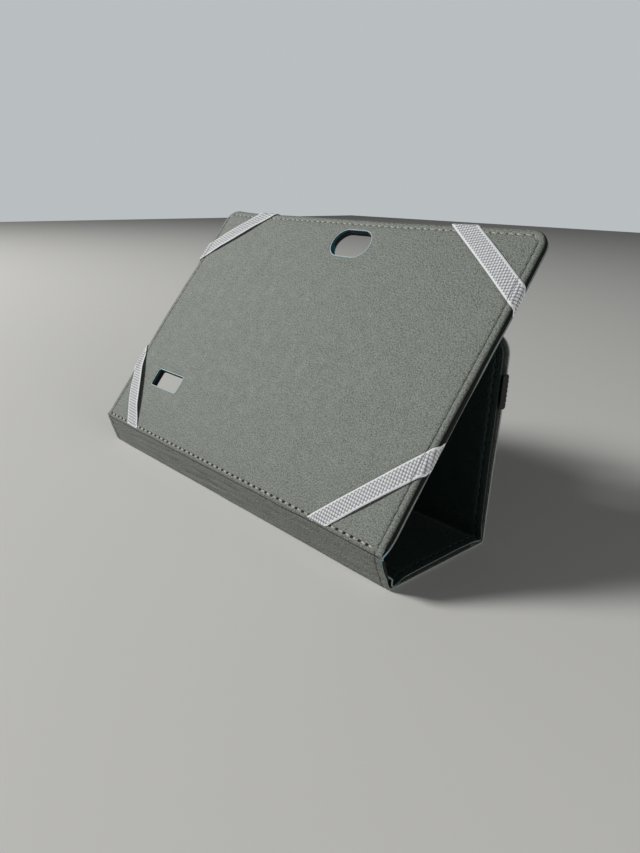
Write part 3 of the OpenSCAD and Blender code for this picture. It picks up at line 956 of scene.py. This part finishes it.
# stitches: for every pitch of every seam one thread and one needle hole, the thread as high over the face as
# proud and its ends as deep under it as dive
stitch = {
    "pitch": 5.0 * mm, "proud": 0.06 * mm, "shoulder": -0.1 * mm, "dive": 0.42 * mm, "sides": 6, "rim": 8,
    "wander": 2.5,  # degrees
    # along half a thread: where, as a share of its half length, and how thick, as a share of its radius
    "places": (1.0, 0.86, 0.45), "girths": (0.35, 0.85, 1.0),
}
# for each kind of seam: thread length and radius, slant in degrees, needle hole's radius, material slot
stitchKinds = np.array([
    (3.6 * mm, 0.32 * mm, 7.0, 0.45 * mm, 0),  # along the free ends
    # slot 2 is the greige thread darkened as painted shade
    (4.4 * mm, 0.25 * mm, 9.0, 0.36 * mm, 2),  # up the sides
    (3.0 * mm, 0.42 * mm, 4.0, 0.9 * mm, 0),  # beside the folds
    (3.8 * mm, 0.28 * mm, 7.0, 0.36 * mm, 3),  # anywhere on the outer skin
])


def outlineDistance(path, x, whole):
    # distance in from the edge of the whole flat skin, round its corners too
    r = skin["corner"]
    fromEnd = np.minimum(whole, path["total"] - whole)
    acrossGap, endGap = halfWidth - np.abs(x), fromEnd
    d = np.minimum(acrossGap, endGap)
    inCorner = (acrossGap < r) & (endGap < r)
    return np.where(inCorner, r - np.hypot(r - acrossGap, r - endGap), d)


def seamRoute(path):
    # the closed seam round the whole skin, then the seams across it, as lines in the flat
    inset, r = skin["seam"], skin["corner"] - skin["seam"]
    right, far = halfWidth - inset - r, path["total"] - inset - r
    near = inset + r
    ring = [arcPoints(np.array([cx, cs]), r, start, start + 90, 12)
            for cx, cs, start in ((right, far, 0), (-right, far, 90),
                                  (-right, near, 180), (right, near, 270))]
    ring = np.concatenate(ring)
    ring = np.concatenate([ring, ring[:1]])
    across = halfWidth - inset - 1.2 * mm
    return [ring] + [np.array([[-across, at], [across, at]]) for at in crossSeams(path)]


def stitchCentres(line):
    step = np.diff(line, axis=0)
    length = np.concatenate([[0], np.cumsum(np.hypot(step[:, 0], step[:, 1]))])
    count = round(length[-1] / stitch["pitch"])
    at = (np.arange(count) + 0.5) * length[-1] / count
    centre = np.column_stack([np.interp(at, length, line[:, i]) for i in (0, 1)])
    which = np.clip(np.searchsorted(length, at, side="right") - 1, 0, len(step) - 1)
    return centre, step[which] / np.linalg.norm(step[which], axis=1)[:, None]


def seamStitches(path):
    # centre, direction and kind of every stitch on one skin
    rows = []
    for number, line in enumerate(seamRoute(path)):
        centre, along = stitchCentres(line)
        kind = np.where(np.abs(along[:, 0]) > 0.5, 0, 1) if number == 0 else np.full(len(centre), 2)
        rows.append(np.column_stack([centre, along, kind if path is lining else 0 * kind + 3]))
    return np.concatenate(rows)


def onFace(path, flat, up):
    # flat points taken round the folds at a height above the skin's face
    x, whole = flat[:, 0], flat[:, 1]
    return placeOn(path, x, whole, faceDepth(path, x, whole, outlineDistance(path, x, whole)) - up)


def stitchMesh(path, rows):
    # each stitch is a short six-sided thread that arches from hole to hole, and each hole a flat near-black
    # lens, painted shade for the hole
    centre, line = rows[:, :2], rows[:, 2:4]
    count, sides, rim = len(rows), stitch["sides"], stitch["rim"]
    long, radius, slant, holeRadius, slot = stitchKinds[rows[:, 4].astype(int)].T[:, :, None, None]
    turn = np.radians(slant[:, 0, 0] + np.random.default_rng(21).normal(0, stitch["wander"], count))
    cos, sin = np.cos(turn), np.sin(turn)
    along = np.column_stack([line[:, 0] * cos - line[:, 1] * sin, line[:, 0] * sin + line[:, 1] * cos])
    beside = np.column_stack([-along[:, 1], along[:, 0]])
    half, girths = np.array(stitch["places"]), np.array(stitch["girths"])
    climb = np.array([-stitch["dive"], stitch["shoulder"], stitch["proud"]])
    u = np.concatenate([-half, half[::-1]])[:, None]
    girth = np.concatenate([girths, girths[::-1]])[:, None] * radius
    rise = np.concatenate([climb, climb[::-1]])
    theta = np.arange(sides) / sides * 2 * math.pi
    reach = u * long / 2 + 0 * theta
    up = rise[:, None] + girth * np.sin(theta) * 0.8
    flat = (centre[:, None, None] + reach[..., None] * along[:, None, None]
            + (girth * np.cos(theta))[..., None] * beside[:, None, None])
    threadPoints = onFace(path, flat.reshape(-1, 2), up.ravel())
    grid = np.arange(len(threadPoints)).reshape(count, len(u), sides)
    quads = tubeFaces(grid)
    caps = np.concatenate([grid[:, 0, ::-1], grid[:, -1]])
    phi = np.arange(rim) / rim * 2 * math.pi
    ring = np.column_stack([np.cos(phi), np.sin(phi), 0 * phi])
    lens = np.concatenate([[[0, 0, -0.25]], ring, [[0, 0, 0.12]]])
    flat = ((centre - line * stitch["pitch"] / 2)[:, None]
            + holeRadius * (1.2 * lens[:, :1] * line[:, None] + 0.85 * lens[:, 1:2] * beside[:, None]))
    up = np.broadcast_to(lens[:, 2] * 0.3 * mm + 0.02 * mm, (count, rim + 2))
    holePoints = onFace(path, flat.reshape(-1, 2), up.ravel())
    a, b = 1 + np.arange(rim), 1 + (np.arange(rim) + 1) % rim
    fan = np.concatenate([np.column_stack([0 * a, b, a]), np.column_stack([0 * a + rim + 1, a, b])])
    lenses = (len(threadPoints) + np.arange(count)[:, None, None] * (rim + 2) + fan).reshape(-1, 3)
    slots = slot[:, 0, 0].astype(int)
    slots = [np.repeat(slots, (len(u) - 1) * sides), np.tile(slots, 2), np.ones(len(lenses), int)]
    return np.concatenate([threadPoints, holePoints]), (quads, caps, lenses), np.concatenate(slots)


def buildStitches():
    for piece, (fold, first, last, _, _) in pieces.items():
        name = "thread" + piece
        points, faces, slots = [], [], []
        total = 0
        for path in (lining, outer):
            rows = seamStitches(path)
            within = (rows[:, 1] >= path[first]) & (rows[:, 1] < path[last])
            somePoints, someFaces, someSlots = stitchMesh(path, rows[within])
            for part in someFaces:
                faces += (part + total).tolist()
            points.append(somePoints)
            slots.append(someSlots)
            total += len(somePoints)
        points = np.concatenate(points)
        points[:, 2] = np.maximum(points[:, 2], 0)  # the floor presses the base's stitches flat
        obj = makeObject(name, points, faces, [beigeThread, holeShade, shadedSideThread, tealThread],
                         faceMats=np.concatenate(slots))
        bend(obj)
        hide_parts(*stoodInFor[name])
        print("%s: %d faces" % (name, len(faces)))


buildStitches()


# corner straps and closure band: woven elastic
strap = {
    "wide": 10.6 * mm, "thick": 1.0 * mm, "ramp": 18 * mm, "fray": 0.35 * mm, "sewn": True,
    "cell": 0.24 * mm, "selvage": 1.15 * mm,
    "pitchAcross": 2.7 * mm, "pitchAlong": 2.2 * mm, "relief": 0.36 * mm,
    "edgeRadius": 1.6 * mm, "tuck": 2.5 * mm, "overFold": 0.3, "worn": 0.8 * mm, "thinning": 2.5 * mm,
}
# for each strap: its ends along the panel's end edge and along its side edge from the corner, then how far
# its middle stands off the panel and how much more its inner edge does
strapPlaces = {
    ("upper", "left"): (47.5 * mm, 38.5 * mm, 0.8 * mm, 0.2 * mm),
    ("upper", "right"): (52 * mm, 38 * mm, 0.6 * mm, -0.1 * mm),
    ("lower", "left"): (36 * mm, 47.5 * mm, 1.7 * mm, 0.5 * mm),
    ("lower", "right"): (43.5 * mm, 47.5 * mm, 0.6 * mm, -0.1 * mm),
}
band = {
    "wide": 17 * mm, "thick": 1.3 * mm, "v": 80 * mm, "cell": 0.36 * mm, "selvage": 1.2 * mm, "sewn": False,
    "pitchAcross": 2.4 * mm, "pitchAlong": 2.2 * mm, "relief": 0.5 * mm,
    "edgeRadius": 2.2 * mm, "tuck": 2.1 * mm, "worn": 0.8 * mm, "thinning": 2.5 * mm,
    "clear": 0.5 * mm, "ramp": 10 * mm, "fray": 0.0,
}


def weave(kind, a, c):
    # height of the woven face, from 0 to 1: staggered diamonds between smooth ribbed selvages
    one = a / kind["pitchAlong"] + c / kind["pitchAcross"]
    two = a / kind["pitchAlong"] - c / kind["pitchAcross"]
    diamond = np.abs(np.sin(math.pi * one) * np.sin(math.pi * two)) ** 0.75
    rib = 0.88 + 0.08 * np.cos(2 * math.pi * a / (0.5 * kind["pitchAlong"]))
    edge = np.clip((np.abs(c) - (kind["wide"] / 2 - kind["selvage"])) / (0.25 * mm), 0, 1)
    return diamond * (1 - edge) + rib * edge


def overEdge(edgeAt, radius, e, lift):
    # distance outwards and depth on a flap, for a band that runs over the flap's rounded edge
    turn = np.clip(e / radius, 0, math.pi / 2)
    out = np.minimum(e, 0) + radius * np.sin(turn) + lift * np.sin(turn)
    down = radius * (1 - np.cos(turn)) + np.maximum(e - radius * math.pi / 2, 0) - lift * np.cos(turn)
    return edgeAt - radius + out, down


def buildBand(name, kind, flapName, middle, direction, edgeKind, side, liftAt, material, nodes):
    # Half an elastic, from its middle to its tucked end. Across it a closed section: the woven face, and a
    # plain back; along it straight lines that stop at the same distance past the edge.
    perp = np.array([-direction[1], direction[0]])
    normal = {"side": np.array([side, 0]), "top": np.array([0, 1]), "fold": np.array([0, -1])}[edgeKind]
    edgeAt = {"side": halfWidth, "top": panelLen, "fold": 0.0}[edgeKind]
    if edgeKind == "fold":
        start, endAt = 0.0, foldR * kind["overFold"]
    else:
        start = edgeAt - kind["edgeRadius"]
        endAt = kind["edgeRadius"] * math.pi / 2 + kind["tuck"]
    topCount = int(kind["wide"] / kind["cell"])
    cTop = np.linspace(-kind["wide"] / 2, kind["wide"] / 2, topCount)
    cBack = np.linspace(kind["wide"] / 2, -kind["wide"] / 2, 12)[1:-1]
    c = np.concatenate([cTop, cBack])
    isTop = np.concatenate([np.ones(topCount), np.zeros(len(cBack))])
    first = middle + c[:, None] * perp
    e0 = first @ normal - start
    fray = kind["fray"] * np.random.default_rng(5).random(len(c))
    if edgeKind != "side":  # its visible end is a little ragged, with the corners worn off
        endAt = endAt + fray - kind["worn"] * np.abs(2 * c / kind["wide"]) ** 6
    tEnd = (endAt - e0) / (direction @ normal)
    tEdge = -e0 / (direction @ normal)
    steps = int(tEnd.mean() / kind["cell"])
    share = np.linspace(0, 1, steps)[:, None]
    t = share * tEnd
    flat = middle + c[None, :, None] * perp + t[..., None] * direction
    e = flat @ normal - start
    relief = weave(kind, t, c[None, :] + 0 * t)
    if edgeKind == "side" and kind["sewn"]:  # the side seam runs over the strap and presses a line into it
        relief = relief * (1 - 0.9 * hump(np.abs(flat[..., 0]), halfWidth - skin["seam"], 0.35 * mm))
    inner = np.sign(perp @ (np.array([0, panelLen / 2]) - middle))
    across = inner * 2 * c / kind["wide"] + 0 * t
    rounded = np.abs(2 * c / kind["wide"]) ** 12
    thin = np.clip((endAt - e) / kind["thinning"], 0.35, 1)
    topLift = kind["thick"] * (1 - 0.5 * rounded) * thin
    topLift = topLift + kind["relief"] * (relief - 1) * (1 - rounded) * thin
    backLift = 0.5 * kind["thick"] * rounded * thin
    lift = np.where(isTop > 0, topLift, backLift) + liftAt(tEdge - t, across)
    if edgeKind == "fold":
        turn = np.radians(faceAngle["panel"]) + np.maximum(e, 0) / foldR
        around = (foldR + lift)[..., None] * np.stack([np.cos(turn), np.sin(turn)], axis=-1)
        flap = flaps["panel"]
        yz = flap["fold"] + np.maximum(-e, 0)[..., None] * flap["along"] + around
        x = flat[..., 0]
    else:
        out, down = overEdge(edgeAt, kind["edgeRadius"], e, lift)
        v = out if edgeKind == "top" else flat[..., 1]
        x = side * out if edgeKind == "side" else flat[..., 0]
        flap = flaps[flapName]
        yz = flap["fold"] + v[..., None] * flap["along"] + (flap["face"] + down)[..., None] * flap["depth"]
    points = np.concatenate([x[..., None], yz], axis=-1).reshape(-1, 3)
    if flapName == "panel":
        points = pulled(points, flat[..., 1].ravel())
    grid = np.arange(steps * len(c)).reshape(steps, len(c))
    faces = tubeFaces(grid).tolist()
    faces += [grid[0, ::-1].tolist(), grid[-1].tolist()]
    # the level attribute is the weave's relief; the elastic's colour darkens with it as painted shade in the
    # hollows and along the pressed seam line
    obj = makeObject(name, points, faces, [material], uv=np.column_stack([t.ravel(), np.tile(c, steps)]),
                     values=np.where(isTop[None, :] > 0, relief, 0.5).ravel())
    writeFlatUv(obj)
    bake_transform(obj)
    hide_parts(*nodes)


def buildStraps():
    for (level, sideName), (along, up, gap, extra) in strapPlaces.items():
        side = -1 if sideName == "left" else 1
        upper = level == "upper"
        sidePoint = np.array([side * halfWidth, panelLen - up if upper else up])
        endPoint = np.array([side * (halfWidth - along), panelLen if upper else 0.0])
        middle = (sidePoint + endPoint) / 2
        direction = (sidePoint - endPoint) / np.linalg.norm(sidePoint - endPoint)

        def liftAt(fromEdge, across, gap=gap, extra=extra):
            return 0.05 * mm + (gap + extra * across) * smoothStep((fromEdge - 2 * mm) / strap["ramp"])

        name = level + sideName.capitalize() + "Strap"
        nodes = ["%s_%s_strap" % (level, sideName), "%s_%s_strap_ends" % (level, sideName)]
        buildBand(name + "SideHalf", strap, "panel", middle, direction, "side", side, liftAt, greyElastic,
                  nodes)
        buildBand(name + "EndHalf", strap, "panel", middle, -direction, "top" if upper else "fold", side,
                  liftAt, greyElastic, nodes)


def buildClosureBand():
    def liftAt(fromEdge, across):
        belly = bellyAt(band["v"] / uprightLen)
        return 0.1 * mm + belly + band["clear"] * smoothStep((fromEdge + 1 * mm) / band["ramp"])

    for side, sideName in ((-1, "Left"), (1, "Right")):
        buildBand("closureBand%sHalf" % sideName, band, "upright", np.array([0.0, band["v"]]),
                  np.array([side, 0.0]), "side", side, liftAt, blackElastic,
                  ["closure_band", "closure_band_ends"])


buildStraps()
buildClosureBand()
print("straps and closure band are woven")


# boards, carried over from the frame
for node in ("panel_board", "base_board", "upright_board", "spine_stiffener"):
    mesh = frame["nodes"][node].data
    mesh.materials.clear()
    mesh.materials.append(greyBoard)
